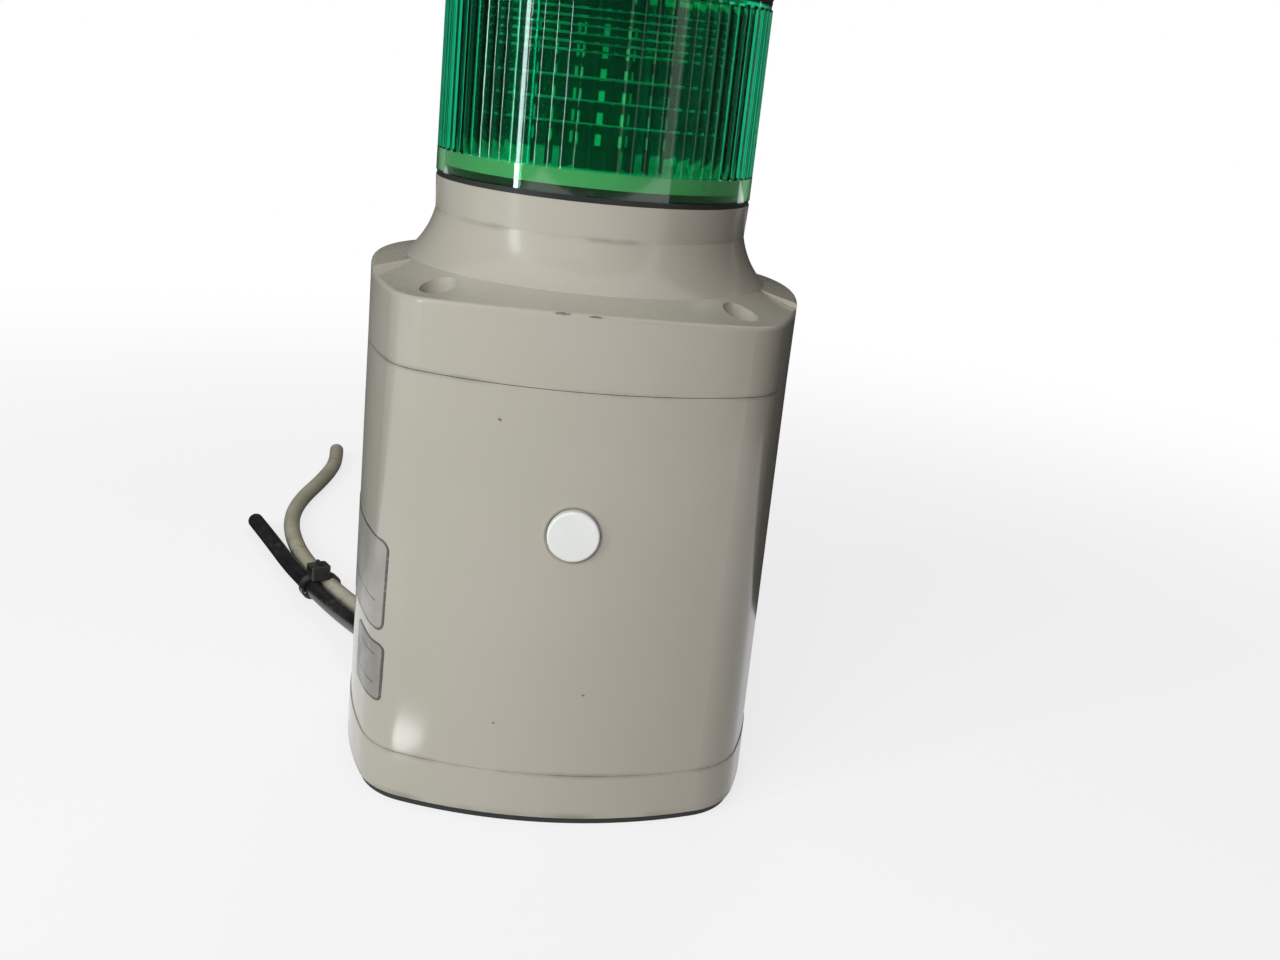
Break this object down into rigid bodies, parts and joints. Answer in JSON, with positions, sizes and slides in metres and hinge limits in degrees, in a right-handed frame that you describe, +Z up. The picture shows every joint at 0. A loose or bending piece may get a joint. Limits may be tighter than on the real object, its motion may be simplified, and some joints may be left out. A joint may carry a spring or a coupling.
{
  "type": "stack light",
  "caption": "Signal tower with stacked fluted lens modules on a square moulded pedestal with a push button, cables leaving at its foot, and screws sunk in its cover.",
  "frame": {"origin": "middle of the underside of the base gasket, on the surface the tower stands on", "axes": "+Z up along the tower, -Y towards the side with the push button, -X the side with the two label plates"},
  "size_m": [0.2105, 0.3677, 0.3283],
  "materials": {
    "housing_plastic": "glossy moulded plastic, off-white",
    "seal_rubber": "smooth black rubber",
    "button_plastic": "glossy white plastic",
    "green_lens_plastic": "clear green moulded plastic",
    "red_lens_plastic": "clear red moulded plastic",
    "carrier_plastic": "satin pale plastic",
    "diffuser_plastic": "translucent frosted plastic",
    "screw_steel": "plated steel",
    "flange_metal": "cast aluminium",
    "board_laminate": "lacquered laminate",
    "standoff_brass": "turned brass",
    "capacitor_sleeve": "shrunk plastic sleeve",
    "relay_plastic": "moulded plastic",
    "core_metal": "varnished iron laminations",
    "terminal_plastic": "moulded plastic",
    "black_plastic": "moulded plastic",
    "plunger_plastic": "moulded plastic",
    "black_sheath": "smooth black sheath",
    "white_sheath": "smooth white sheath, slightly soiled",
    "tie_plastic": "satin black nylon"
  },
  "bodies": {
    "housing": {"base_gasket": "seal_rubber", "base_plate": "housing_plastic", "body_shell": "housing_plastic", "top_cover": "housing_plastic", "cover_screws": "screw_steel", "base_screws": "screw_steel", "button_plate": "black_plastic", "button_switch": "black_plastic", "control_board": "board_laminate", "board_standoffs": "standoff_brass", "board_screws": "screw_steel", "capacitors": "capacitor_sleeve", "relays": "relay_plastic", "transformer": "core_metal", "terminal_block": "terminal_plastic", "buzzer": "black_plastic", "tower_flange": "flange_metal", "clamp_rod": "screw_steel", "rod_nut": "screw_steel", "lower_seal": "seal_rubber", "green_lens": "green_lens_plastic", "green_base": "carrier_plastic", "green_diffuser": "diffuser_plastic", "green_led_post": "carrier_plastic", "middle_seal": "seal_rubber", "red_lens": "red_lens_plastic", "red_base": "carrier_plastic", "red_diffuser": "diffuser_plastic", "red_led_post": "carrier_plastic", "top_seal": "seal_rubber", "head_cap": "housing_plastic", "cap_nut": "screw_steel", "cable_grommet": "seal_rubber", "cable_clamp": "black_plastic", "clamp_screws": "screw_steel", "cable_tie": "tie_plastic", "black_cable": "black_sheath", "white_cable": "white_sheath"},
    "button": {"button_cap": "button_plastic", "switch_plunger": "plunger_plastic"}
  },
  "joints": [
    {"name": "button_press", "type": "slide", "parent": "housing", "child": "button", "axis": [0, 1, 0], "range_m": [0, 0.0015], "stiffness_N_per_m": 400}
  ]
}
